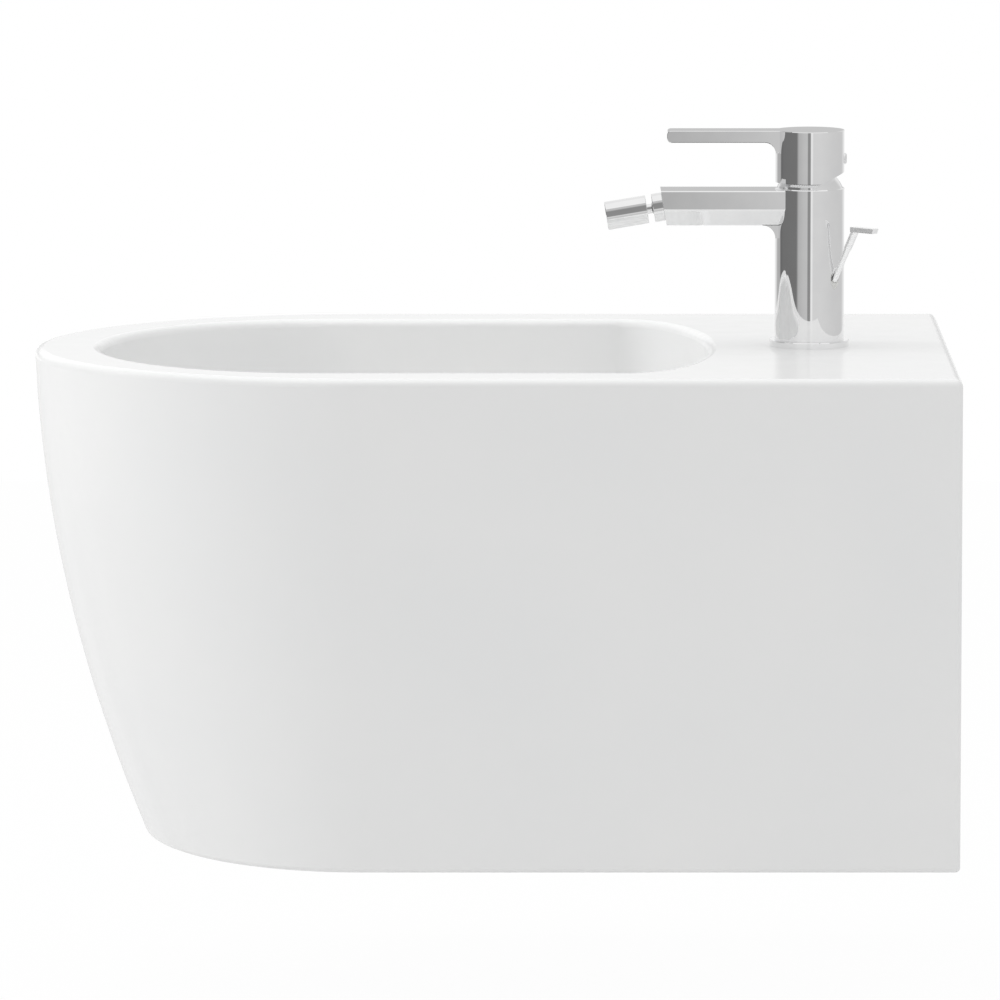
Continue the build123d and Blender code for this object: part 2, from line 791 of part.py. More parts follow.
# Lever stem with the ball end that drives the moving disc
with BuildPart() as lever_stem:
    with BuildSketch(tap_plane.offset(stem_ball_height)):
        Rectangle(stem_depth, stem_width)
    extrude(amount=stem_top - stem_ball_height)
    with BuildSketch(tap_plane.offset(stem_ball_height)):
        Circle(stem_ball_r + stem_depth)
        Circle(stem_neck_r, mode=Mode.SUBTRACT)
    extrude(amount=rotor_floor - stem_ball_height + part_gap, mode=Mode.SUBTRACT)
    with Locations((tap_x, 0, deck + stem_ball_height)):
        Sphere(stem_ball_r)
    with BuildSketch(tap_section.offset(-stem_width)):
        with Locations((0, pivot_height)):
            Circle(pivot_pin_r + shaft_clearance)
    extrude(amount=2 * stem_width, mode=Mode.SUBTRACT)
lever_stem.part.label = "lever_stem"
export_step(lever_stem.part, "parts/lever_stem.step")

# Threaded ring that clamps the cartridge down
with BuildPart() as cartridge_nut:
    with BuildSketch(tap_plane.offset(housing_shoulder)):
        Circle(chamber_r - thread_clearance)
        Circle(housing_neck_r + nut_bore_gap, mode=Mode.SUBTRACT)
    extrude(amount=nut_top - housing_shoulder)
    with BuildSketch(tap_plane.offset(nut_top)):
        with PolarLocations(chamber_r, nut_notch_count):
            Rectangle(nut_notch_width, nut_notch_width)
    extrude(amount=-nut_notch_depth, mode=Mode.SUBTRACT)
cartridge_nut.part.label = "cartridge_nut"
export_step(cartridge_nut.part, "parts/cartridge_nut.step")

# Chromed dome over the cartridge, a sphere about the lever's pivot
pivot_point = (tap_x, 0, deck + pivot_height)
dome_foot_r = sqrt(dome_r**2 - (tap_top - pivot_height) ** 2)
dome_top = pivot_height + sqrt(dome_r**2 - dome_hole_r**2)
with BuildPart() as dome_cover:
    with BuildSketch(tap_plane.offset(tap_top)):
        Circle(dome_r)
    extrude(amount=dome_top - tap_top)
    with Locations(pivot_point):
        Sphere(dome_r, mode=Mode.INTERSECT)
    with Locations(pivot_point):
        Sphere(dome_r - dome_shell, mode=Mode.SUBTRACT)
    with BuildSketch(tap_plane.offset(tap_top)):
        Circle(dome_eye_r)
    extrude(amount=dome_top - tap_top, mode=Mode.SUBTRACT)
    with BuildSketch(tap_plane.offset(tap_top)):
        Circle(dome_foot_r - edge_break)
        Circle(chamber_r - dome_foot_width, mode=Mode.SUBTRACT)
    extrude(amount=dome_shell)
dome_cover.part.label = "dome_cover"
export_step(dome_cover.part, "parts/dome_cover.step")

# Lever handle: cap hollowed as a sphere about the pivot, with a flat lever
cut_rise = tap_top - pivot_height + lift_clearance
cut_cos = cos(radians(lift_angle))
cut_low = pivot_height + cut_rise / cut_cos
cap_half = handle_r + handle_cut_margin
with BuildPart() as lever_handle:
    with BuildSketch(tap_plane.offset(handle_bottom)):
        Circle(handle_r)
    extrude(amount=handle_top - handle_bottom)
    with BuildSketch(tap_plane.offset(handle_top - lever_thickness)):
        Rectangle(lever_reach, lever_width, align=(Align.MAX, Align.CENTER))
    extrude(amount=lever_thickness)
    tip_edges = lever_handle.faces().sort_by(Axis.X)[0].edges().filter_by(Axis.Y)
    fillet(tip_edges, lever_round)
    with BuildSketch(tap_section.offset(-lever_width / 2)):
        with BuildLine():
            lever_root = -sqrt(handle_r**2 - lever_width**2 / 4)
            lever_low = handle_top - lever_thickness
            Line((lever_root + lever_root_round, lever_low), (-handle_r - lever_root_round, lever_low))
            RadiusArc(
                (-handle_r - lever_root_round, lever_low),
                (-handle_r, lever_low - lever_root_round),
                lever_root_round,
            )
            Line((-handle_r, lever_low - lever_root_round), (lever_root + lever_root_round, lever_low))
        make_face()
    extrude(amount=lever_width)
    cap_edges = lever_handle.faces().sort_by(Axis.Z)[-1].edges()
    chamfer(cap_edges, edge_break / 2)
    with Locations(pivot_point):
        Sphere(dome_r + handle_dome_gap, mode=Mode.SUBTRACT)
    with BuildSketch(tap_section.offset(-cap_half)):
        with BuildLine():
            Polyline(
                (0, handle_bottom - cap_half),
                (0, cut_low),
                (cap_half, cut_low + cap_half * lift_slope),
                (cap_half, handle_bottom - cap_half),
                close=True,
            )
        make_face()
    extrude(amount=2 * cap_half, mode=Mode.SUBTRACT)
    with BuildSketch(tap_plane.offset(pivot_height)):
        Rectangle(stem_depth + 2 * thread_clearance, stem_width + 2 * thread_clearance)
    extrude(amount=stem_top + thread_clearance - pivot_height, mode=Mode.SUBTRACT)
    with BuildSketch(Plane.YZ.offset(tap_x)):
        with Locations((0, deck + grub_height)):
            Circle(grub_r + thread_clearance)
    extrude(amount=handle_r, mode=Mode.SUBTRACT)
    with BuildSketch(Plane.YZ.offset(tap_x + handle_r - plug_length)):
        with Locations((0, deck + grub_height)):
            Circle(plug_r)
    extrude(amount=plug_length, mode=Mode.SUBTRACT)
lever_handle.part.label = "lever_handle"
export_step(lever_handle.part, "parts/lever_handle.step")

# Grub screw that clamps the handle to the stem, and the round plug that hides it
with BuildPart() as handle_grub_screw:
    with BuildSketch(Plane.YZ.offset(tap_x + stem_depth / 2)):
        with Locations((0, deck + grub_height)):
            Circle(grub_r)
    extrude(amount=grub_length)
    with BuildSketch(Plane.YZ.offset(tap_x + stem_depth / 2 + grub_length)):
        with Locations((0, deck + grub_height)):
            RegularPolygon(grub_key_flats / 2, 6, major_radius=False)
    extrude(amount=-grub_key_depth, mode=Mode.SUBTRACT)
handle_grub_screw.part.label = "handle_grub_screw"
export_step(handle_grub_screw.part, "parts/handle_grub_screw.step")

with BuildPart() as index_plug:
    with BuildSketch(Plane.YZ.offset(tap_x + handle_r - plug_length)):
        with Locations((0, deck + grub_height)):
            Circle(plug_r - thread_clearance)
    extrude(amount=plug_length + plug_bulge)
    fillet(index_plug.faces().sort_by(Axis.X)[-1].edges(), plug_dome)
index_plug.part.label = "index_plug"
export_step(index_plug.part, "parts/index_plug.step")

# Ring nut in the spout's end face that holds the ball joint
ball_plane = nozzle_plane(ball_offset)
with BuildPart() as aerator_collar:
    with BuildSketch(nozzle_plane(0)):
        Circle(collar_r)
    extrude(amount=collar_length)
    chamfer(aerator_collar.edges(), edge_break / 2)
    with BuildSketch(nozzle_plane(0)):
        Circle(collar_thread_r)
    extrude(amount=-collar_thread_length)
    with BuildSketch(nozzle_plane(0)):
        Circle(collar_mouth_r)
    extrude(amount=collar_length, mode=Mode.SUBTRACT)
    with BuildSketch(nozzle_plane(-collar_thread_length)):
        Circle(seat_r + shaft_clearance)
    extrude(amount=collar_thread_length, mode=Mode.SUBTRACT)
    with Locations(Location(ball_plane)):
        Sphere(ball_r + ball_clearance, mode=Mode.SUBTRACT)
aerator_collar.part.label = "aerator_collar"
export_step(aerator_collar.part, "parts/aerator_collar.step")

with BuildPart() as ball_seat:
    with BuildSketch(nozzle_plane(-shaft_clearance)):
        Circle(seat_r)
        Circle(seat_bore_r, mode=Mode.SUBTRACT)
    extrude(amount=-seat_length)
    with Locations(Location(ball_plane)):
        Sphere(ball_r + ball_clearance, mode=Mode.SUBTRACT)
ball_seat.part.label = "ball_seat"
export_step(ball_seat.part, "parts/ball_seat.step")

# Ball with a hollow neck, screwed into the back of the nozzle
nozzle_start = collar_length + nozzle_gap
with BuildPart() as nozzle_ball:
    with Locations(Location(ball_plane)):
        Sphere(ball_r)
    with BuildSketch(ball_plane):
        Circle(neck_r)
    extrude(amount=nozzle_start + nozzle_back - ball_offset)
    with BuildSketch(nozzle_plane(nozzle_start + nozzle_back)):
        Circle(nozzle_r - nozzle_wall - thread_clearance)
    extrude(amount=stub_length)
    with BuildSketch(nozzle_plane(0)):
        Circle(neck_bore_r)
    extrude(amount=nozzle_start + nozzle_back + stub_length, mode=Mode.SUBTRACT)
    with BuildSketch(nozzle_plane(ball_offset - ball_r)):
        Circle(neck_bore_r)
    extrude(amount=ball_r, mode=Mode.SUBTRACT)
nozzle_ball.part.label = "nozzle_ball"
export_step(nozzle_ball.part, "parts/nozzle_ball.step")

with BuildPart() as nozzle_sleeve:
    with BuildSketch(nozzle_plane(nozzle_start)):
        Circle(nozzle_r)
    extrude(amount=nozzle_length)
    chamfer(nozzle_sleeve.edges(), edge_break / 2)
    with BuildSketch(nozzle_plane(nozzle_start)):
        Circle(neck_r + thread_clearance)
    extrude(amount=nozzle_back, mode=Mode.SUBTRACT)
    with BuildSketch(nozzle_plane(nozzle_start + nozzle_back)):
        Circle(nozzle_r - nozzle_wall)
    extrude(amount=nozzle_length, mode=Mode.SUBTRACT)
nozzle_sleeve.part.label = "nozzle_sleeve"
export_step(nozzle_sleeve.part, "parts/nozzle_sleeve.step")

with BuildPart() as aerator_insert:
    insert_start = nozzle_start + nozzle_length - insert_recess - insert_thickness
    with BuildSketch(nozzle_plane(insert_start)):
        Circle(nozzle_r - nozzle_wall - thread_clearance)
        Circle(jet_r, mode=Mode.SUBTRACT)
        for ring, count in enumerate(jet_ring_counts, start=1):
            with PolarLocations(ring * jet_ring_step, count):
                Circle(jet_r, mode=Mode.SUBTRACT)
    extrude(amount=insert_thickness)
aerator_insert.part.label = "aerator_insert"
export_step(aerator_insert.part, "parts/aerator_insert.step")

# Slanted lift rod with a crosspin at its foot
rod_top = knob_leg_height + knob_leg_r
with BuildPart() as lift_rod:
    with BuildSketch(rod_cross_plane(rod_foot_height)):
        Circle(rod_r)
    extrude(amount=(rod_top - rod_foot_height) / rod_rise)
    extrude(lift_rod.faces().sort_by(Axis.Z)[0], amount=rod_foot_overrun)
    with BuildSketch(rod_side_plane().offset(-crosspin_start)):
        with Locations((rod_foot_r, rod_foot_height)):
            Circle(crosspin_r)
    extrude(amount=-(yoke_offset + yoke_thickness + pocket_margin / 2 - crosspin_start))
lift_rod.part.label = "lift_rod"
export_step(lift_rod.part, "parts/lift_rod.step")

# Knob: a round leg on the rod and a flat finger tab
with BuildPart() as lift_knob:
    tab_low = knob_top - knob_tab_thickness
    with BuildSketch(rod_cross_plane(knob_leg_height)):
        Circle(knob_leg_r)
    extrude(amount=(knob_top - knob_leg_height) / rod_rise + knob_leg_r)
    with BuildSketch(rod_side_plane().offset(-knob_outer_r)):
        with Locations((0, knob_top)):
            Rectangle(4 * knob_outer_r, knob_outer_r, align=(Align.CENTER, Align.MIN))
    extrude(amount=2 * knob_outer_r, mode=Mode.SUBTRACT)
    with BuildSketch(rod_side_plane().offset(-knob_tab_width / 2)):
        with BuildLine():
            Polyline(
                (knob_inner_r, knob_top),
                (knob_outer_r, knob_top),
                (knob_outer_r - knob_tip_slant, tab_low),
                (knob_inner_r, tab_low),
                close=True,
            )
        make_face()
    extrude(amount=knob_tab_width)
    with BuildSketch(rod_cross_plane(knob_leg_height)):
        Circle(rod_r)
    extrude(amount=(rod_top - knob_leg_height) / rod_rise, mode=Mode.SUBTRACT)
lift_knob.part.label = "lift_knob"
export_step(lift_knob.part, "parts/lift_knob.step")

# Pull rod: slotted yoke head in the tap, then a straight wire down behind the bowl
wire_x, wire_y, wire_top = rod_point(yoke_r, yoke_centre, rod_foot_height)
with BuildPart() as pull_rod:
    with BuildSketch(Plane(origin=(wire_x, wire_y, at_drop(pull_rod_end_drop)))):
        Circle(pull_rod_r)
    extrude(amount=wire_top - yoke_half_height + yoke_wall / 2 - at_drop(pull_rod_end_drop))
    with BuildSketch(rod_side_plane().offset(-yoke_offset - yoke_thickness)):
        with Locations((yoke_r, rod_foot_height)):
            Rectangle(2 * yoke_half_length, 2 * yoke_half_height)
            slot_height = 2 * (yoke_half_height - yoke_wall)
            SlotOverall(2 * (yoke_half_length - yoke_wall), slot_height, mode=Mode.SUBTRACT)
    extrude(amount=yoke_thickness)
pull_rod.part.label = "pull_rod"
export_step(pull_rod.part, "parts/pull_rod.step")

# Pull link: a boss clamped on the pull rod and a fork that the pivot rod passes
pivot_arm = wire_x - drain_x - pivot_ball_offset
rest_tilt = pull_travel / pivot_arm / 2
link_eye_drop = port_drop + pivot_arm * sin(rest_tilt)
link_boss_drop = pull_rod_end_drop - link_boss_length + part_gap
fork_top_drop = link_boss_drop + link_boss_length + link_bridge
link_eye_r = pivot_rod_r + link_hole_clearance
link_end_drop = link_eye_drop + link_eye_r + link_foot
link_y = wire_y / 2
with BuildPart() as pull_link:
    with BuildSketch(Plane((wire_x, wire_y, at_drop(link_boss_drop)))):
        Circle(link_boss_r)
    extrude(amount=-link_boss_length - link_bridge / 2)
    with BuildSketch(Plane((wire_x, link_y, at_drop(fork_top_drop)))):
        Rectangle(link_length, link_width)
    extrude(amount=link_bridge)
    with BuildSketch(Plane((wire_x, link_y, at_drop(fork_top_drop)))):
        with GridLocations(link_length - link_cheek, 0, 2, 1):
            Rectangle(link_cheek, link_width)
    extrude(amount=-(link_end_drop - fork_top_drop))
    with BuildSketch(Plane((wire_x, wire_y, at_drop(link_boss_drop)))):
        Circle(pull_rod_r + thread_clearance)
    extrude(amount=-link_boss_length + part_gap, mode=Mode.SUBTRACT)
    with BuildSketch(Plane.YZ.offset(wire_x - link_length / 2)):
        with Locations((0, at_drop(link_eye_drop))):
            Circle(link_eye_r)
    extrude(amount=link_length, mode=Mode.SUBTRACT)
    with BuildSketch(Plane.XZ.offset(-wire_y)):
        with Locations((wire_x, at_drop(link_boss_drop + link_boss_length / 2))):
            Circle(link_screw_r + thread_clearance)
    extrude(amount=link_boss_r, mode=Mode.SUBTRACT)
pull_link.part.label = "pull_link"
export_step(pull_link.part, "parts/pull_link.step")

with BuildPart() as link_screw:
    with BuildSketch(Plane.XZ.offset(-wire_y + pull_rod_r)):
        with Locations((wire_x, at_drop(link_boss_drop + link_boss_length / 2))):
            Circle(link_screw_r)
    extrude(amount=link_screw_length)
    with BuildSketch(Plane.XZ.offset(-wire_y + link_boss_r + part_gap)):
        with Locations((wire_x, at_drop(link_boss_drop + link_boss_length / 2))):
            Circle(2 * link_screw_r)
            Rectangle(4 * link_screw_r, link_screw_r / 2, mode=Mode.SUBTRACT)
    extrude(amount=link_screw_length - link_boss_r + pull_rod_r + part_gap)
link_screw.part.label = "link_screw"
export_step(link_screw.part, "parts/link_screw.step")

# Waste fitting: flange and threaded tube with overflow windows
drain_plane = Plane((drain_x, 0, bolt_drop))
flange_top = bowl_depth + flange_below_floor
seal_top = flange_top + flange_thickness
window_top = drain_floor + duct_wall / 2
with BuildPart() as waste_flange:
    with BuildSketch(drain_plane.offset(-flange_top)):
        Circle(flange_r)
    extrude(amount=-flange_thickness)
    chamfer(waste_flange.faces().sort_by(Axis.Z)[-1].edges(), edge_break)
    with BuildSketch(drain_plane.offset(-flange_top)):
        Circle(waste_tube_r)
    extrude(amount=flange_top - waste_tube_end_drop)
    with BuildSketch(drain_plane.offset(-flange_top)):
        Circle(waste_bore_r)
    extrude(amount=flange_top - waste_tube_end_drop, mode=Mode.SUBTRACT)
    bore_mouth = waste_flange.faces().sort_by(Axis.Z)[-1].inner_wires()[0].edges()
    fillet(bore_mouth, flange_thickness - edge_break)
    with BuildSketch(Plane.YZ.offset(drain_x)):
        with Locations((0, at_drop(window_top + duct_bore_height / 2))):
            SlotOverall(duct_bore_width, duct_bore_height)
    extrude(amount=waste_tube_r, mode=Mode.SUBTRACT)
waste_flange.part.label = "waste_flange"
export_step(waste_flange.part, "parts/waste_flange.step")

with BuildPart() as waste_seal:
    with BuildSketch(drain_plane.offset(-seal_top)):
        Circle(flange_r - part_gap)
        Circle(waste_tube_r + part_gap, mode=Mode.SUBTRACT)
    extrude(amount=-waste_seal_thickness)
waste_seal.part.label = "waste_seal"
export_step(waste_seal.part, "parts/waste_seal.step")

# Tapered gasket and backnut that pull the fitting up against the boss
with BuildPart() as cone_gasket:
    with BuildSketch(Plane((drain_x, 0, bolt_drop), x_dir=(1, 0, 0), z_dir=(0, -1, 0))):
        with BuildLine():
            Polyline(
                (waste_tube_r + thread_clearance, -boss_end),
                (drain_hole_r + cone_gasket_height / 2, -boss_end),
                (cone_gasket_r, -boss_end - cone_gasket_height),
                (waste_tube_r + thread_clearance, -boss_end - cone_gasket_height),
                close=True,
            )
        make_face()
    revolve(axis=Axis((drain_x, 0, 0), (0, 0, 1)))
cone_gasket.part.label = "cone_gasket"
export_step(cone_gasket.part, "parts/cone_gasket.step")

with BuildPart() as waste_backnut:
    with BuildSketch(drain_plane.offset(-backnut_top)):
        RegularPolygon(backnut_flats / 2, 6, major_radius=False)
        Circle(waste_tube_r + thread_clearance, mode=Mode.SUBTRACT)
    extrude(amount=-backnut_height)
waste_backnut.part.label = "waste_backnut"
export_step(waste_backnut.part, "parts/waste_backnut.step")

# Lower waste body with the side port for the pivot rod's ball
ball_centre = (drain_x + pivot_ball_offset, 0, at_drop(port_drop))
with BuildPart() as waste_body:
    with BuildSketch(drain_plane.offset(-waste_body_top_drop)):
        Circle(waste_body_r)
    extrude(amount=waste_body_top_drop - waste_body_end_drop)
    foot_edge = waste_body.faces().sort_by(Axis.Z)[0].edges()
    chamfer(foot_edge, waste_body_r - tail_r - tail_wall - edge_break)
    with BuildSketch(Plane.YZ.offset(drain_x)):
        with Locations((0, at_drop(port_drop))):
            Circle(port_boss_r)
    extrude(amount=port_boss_reach)
    with BuildSketch(drain_plane.offset(-waste_body_top_drop)):
        Circle(waste_tube_r + thread_clearance)
    extrude(amount=waste_body_top_drop - waste_tube_end_drop, mode=Mode.SUBTRACT)
    with BuildSketch(drain_plane.offset(-waste_tube_end_drop)):
        Circle(waste_bore_r)
    extrude(amount=waste_tube_end_drop + waste_socket_depth - waste_body_end_drop, mode=Mode.SUBTRACT)
    with BuildSketch(drain_plane.offset(-waste_body_end_drop)):
        Circle(tail_spigot_r + thread_clearance)
    extrude(amount=waste_socket_depth, mode=Mode.SUBTRACT)
    with BuildSketch(Plane.YZ.offset(drain_x)):
        with Locations((0, at_drop(port_drop))):
            Circle(port_throat_r)
    extrude(amount=port_boss_reach, mode=Mode.SUBTRACT)
    with BuildSketch(Plane.YZ.offset(drain_x + pivot_ball_offset)):
        with Locations((0, at_drop(port_drop))):
            Circle(port_bore_r)
    extrude(amount=port_boss_reach - pivot_ball_offset, mode=Mode.SUBTRACT)
    with Locations(Location(ball_centre, (0, 90, 0))):
        Sphere(pivot_ball_r + ball_clearance, mode=Mode.SUBTRACT)
waste_body.part.label = "waste_body"
export_step(waste_body.part, "parts/waste_body.step")

with BuildPart() as tailpipe:
    with BuildSketch(drain_plane.offset(-tail_end_drop)):
        Circle(tail_r)
    extrude(amount=tail_showing - tail_shoulder_gap)
    with BuildSketch(drain_plane.offset(-tail_end_drop)):
        Circle(tail_spigot_r)
    extrude(amount=tail_showing + waste_socket_depth)
    with BuildSketch(drain_plane.offset(-tail_end_drop)):
        Circle(tail_r - tail_wall)
    extrude(amount=tail_showing + waste_socket_depth, mode=Mode.SUBTRACT)
tailpipe.part.label = "tailpipe"
export_step(tailpipe.part, "parts/tailpipe.step")

# Seat and cap nut that hold the ball in the side port
port_mouth = drain_x + port_boss_reach
seat_start = drain_x + pivot_ball_offset + ball_clearance
rod_swing_r = pivot_rod_r + part_gap + (pivot_nut_length + pivot_seat_length) * tan(rest_tilt)
with BuildPart() as pivot_seat:
    with BuildSketch(Plane.YZ.offset(seat_start)):
        with Locations((0, at_drop(port_drop))):
            Circle(port_bore_r - thread_clearance)
            Circle(rod_swing_r, mode=Mode.SUBTRACT)
    extrude(amount=pivot_seat_length)
    with Locations(Location(ball_centre, (0, 90, 0))):
        Sphere(pivot_ball_r + ball_clearance, mode=Mode.SUBTRACT)
pivot_seat.part.label = "pivot_seat"
export_step(pivot_seat.part, "parts/pivot_seat.step")

with BuildPart() as pivot_nut:
    nut_end = seat_start + pivot_seat_length
    nut_start = port_mouth - pivot_nut_grip
    with BuildSketch(Plane.YZ.offset(nut_start)):
        with Locations((0, at_drop(port_drop))):
            RegularPolygon(pivot_nut_r, 6, major_radius=False)
    extrude(amount=pivot_nut_length)
    with BuildSketch(Plane.YZ.offset(nut_start)):
        with Locations((0, at_drop(port_drop))):
            Circle(port_boss_r + thread_clearance)
    extrude(amount=max(nut_end, port_mouth) - nut_start, mode=Mode.SUBTRACT)
    with BuildSketch(Plane.YZ.offset(nut_start)):
        with Locations((0, at_drop(port_drop))):
            Circle(rod_swing_r)
    extrude(amount=pivot_nut_length, mode=Mode.SUBTRACT)
pivot_nut.part.label = "pivot_nut"
export_step(pivot_nut.part, "parts/pivot_nut.step")


# Plane square to the pivot rod, with its origin in the ball's centre
def pivot_plane():
    along = (cos(rest_tilt), 0, -sin(rest_tilt))
    return Plane(origin=ball_centre, x_dir=(0, 1, 0), z_dir=along)


# Pivot rod with its ball: outer arm to the pull link, tip inside the waste
with BuildPart() as pivot_rod:
    with Locations(Location(pivot_plane())):
        Sphere(pivot_ball_r)
    with BuildSketch(pivot_plane()):
        Circle(pivot_rod_r)
    extrude(amount=pivot_arm + pivot_overrun)
    with BuildSketch(pivot_plane()):
        Circle(pivot_tip_r)
    extrude(amount=-pivot_ball_offset - pivot_tip_overrun)
pivot_rod.part.label = "pivot_rod"
export_step(pivot_rod.part, "parts/pivot_rod.step")

# Stopper: domed cap, seal, guide vanes and the eye that the rod's tip lifts
stopper_lift = 2 * pivot_ball_offset * sin(rest_tilt)
cap_low = flange_top - stopper_seat_gap - stopper_seal_thickness - stopper_lift
eye_drop = port_drop - pivot_ball_offset * sin(rest_tilt)
eye_r = pivot_tip_r + eye_clearance
stem_low = eye_drop - eye_r - eye_margin
with BuildPart() as stopper:
    with BuildSketch(drain_plane.offset(-cap_low)):
        Circle(stopper_r)
    extrude(amount=stopper_height)
    fillet(stopper.faces().sort_by(Axis.Z)[-1].edges(), stopper_dome)
    with BuildSketch(drain_plane.offset(-cap_low)):
        Circle(stopper_stem_r)
        with PolarLocations(0, 2, angular_range=180):
            Rectangle(vane_thickness, 2 * vane_reach)
    extrude(amount=-stopper_seal_thickness - vane_height)
    with BuildSketch(drain_plane.offset(-cap_low)):
        Circle(stopper_seal_r)
        Circle(vane_reach - stopper_seal_thickness, mode=Mode.SUBTRACT)
    extrude(amount=-stopper_seal_thickness, mode=Mode.SUBTRACT)
    with BuildSketch(drain_plane.offset(-cap_low)):
        Circle(stopper_stem_r)
    extrude(amount=cap_low - stem_low)
    with BuildSketch(drain_plane.offset(-stem_low)):
        Rectangle(eye_thickness, eye_width)
    extrude(amount=-2 * (eye_r + eye_margin))
    with BuildSketch(Plane.YZ.offset(drain_x - eye_thickness)):
        with Locations((0, at_drop(eye_drop))):
            Circle(eye_r)
    extrude(amount=2 * eye_thickness, mode=Mode.SUBTRACT)
stopper.part.label = "stopper"
export_step(stopper.part, "parts/stopper.step")

with BuildPart() as stopper_seal:
    with BuildSketch(drain_plane.offset(-cap_low)):
        Circle(stopper_seal_r)
        Circle(vane_reach - stopper_seal_thickness + thread_clearance, mode=Mode.SUBTRACT)
    extrude(amount=-stopper_seal_thickness)
stopper_seal.part.label = "stopper_seal"
export_step(stopper_seal.part, "parts/stopper_seal.step")
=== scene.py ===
import json
import math

import bpy
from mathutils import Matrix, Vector


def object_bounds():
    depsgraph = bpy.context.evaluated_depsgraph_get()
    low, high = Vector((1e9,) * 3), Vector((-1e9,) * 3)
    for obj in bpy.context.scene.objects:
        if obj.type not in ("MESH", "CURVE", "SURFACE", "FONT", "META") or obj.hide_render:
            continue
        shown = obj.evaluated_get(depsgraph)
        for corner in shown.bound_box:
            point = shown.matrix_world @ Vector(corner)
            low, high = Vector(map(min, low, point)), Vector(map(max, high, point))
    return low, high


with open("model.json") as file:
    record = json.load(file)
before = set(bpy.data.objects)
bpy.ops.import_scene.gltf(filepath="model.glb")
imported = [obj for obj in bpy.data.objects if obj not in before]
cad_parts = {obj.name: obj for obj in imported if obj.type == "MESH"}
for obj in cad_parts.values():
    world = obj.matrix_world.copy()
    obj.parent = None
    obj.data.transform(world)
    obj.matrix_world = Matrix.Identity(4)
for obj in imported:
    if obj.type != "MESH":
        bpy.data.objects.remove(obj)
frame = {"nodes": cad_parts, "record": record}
cad_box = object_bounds()

# Camera: fitted to the photograph's rim, deck and foot edges, in metres from the frame's origin
CAMERA_AT = Vector((-0.2802, -5.939, 0.7488))
CAMERA_PITCH = math.radians(7.35)
SENSOR = 36.0
FOCAL = 344.9
CAMERA_REACH = 200

# Studio
FLOOR_BELOW_BODY = 0.10
FLOOR_SIZE = 5.0
WORLD_FILL = 0.77
FLOOR_GLOW = 0.97
FLOOR_GLOW_IN_METAL = 0.78
WHITE = (1, 1, 1, 1)

# What metal reflects around the horizon: degrees of turn, where 0 looks towards the camera's side
# and 180 towards the wall, and brightness
SURROUND = (
    (-180, 0.97), (-150, 0.90), (-135, 0.49), (-118, 0.49), (-112, 0.16),
    (-100, 0.19), (-46, 0.20), (-39, 0.52), (-22, 0.60), (-9, 0.62),
    (-8, 0.30), (0.5, 0.31), (2.5, 0.95), (6, 0.97), (10, 0.76),
    (35, 0.76), (81, 0.71), (131, 0.68), (150, 0.90), (180, 0.97),
)

# Below the horizon: the sines of two angles, the plain levels under them, and how much of the
# stripes still shows on the camera's side
SURROUND_LOW_EDGE = math.sin(math.radians(-6.45))
SURROUND_DEEP_EDGE = math.sin(math.radians(-13.0))
SURROUND_BELOW = 0.80
SURROUND_FAR_BELOW = 0.66
STRIPES_BELOW = 0.35
CAMERA_SIDE = -0.6

# Greyer band low over the wall side, which the flat tops of spout and lever mirror
TOPS_MIRROR = 0.60
TOPS_MIRROR_MIDDLE = math.sin(math.radians(2.95))
WALL_SIDE = 0.85

# Lighter ceiling, which the bevels mirror
OVERHEAD = 1.03
OVERHEAD_EDGE = 0.85

# What is mirrored twice, such as the tap in the glaze of the deck, looks paler
TWICE_MIRRORED = 0.92
TWICE_SHARE = 0.75
ONCE_OR_TWICE = 1.5

# Lamps: name, place, point aimed at, size and power
LAMPS = (
    ("top_light", (-0.3, 0.1, 2.4), (-0.3, 0, 0), (2.0, 1.6), 14),
    ("side_light", (-2.4, 0.1, 1.3), (-0.35, 0, 0), (0.9, 1.4), 17),
)

scene = bpy.context.scene
scene.view_settings.view_transform = "Standard"


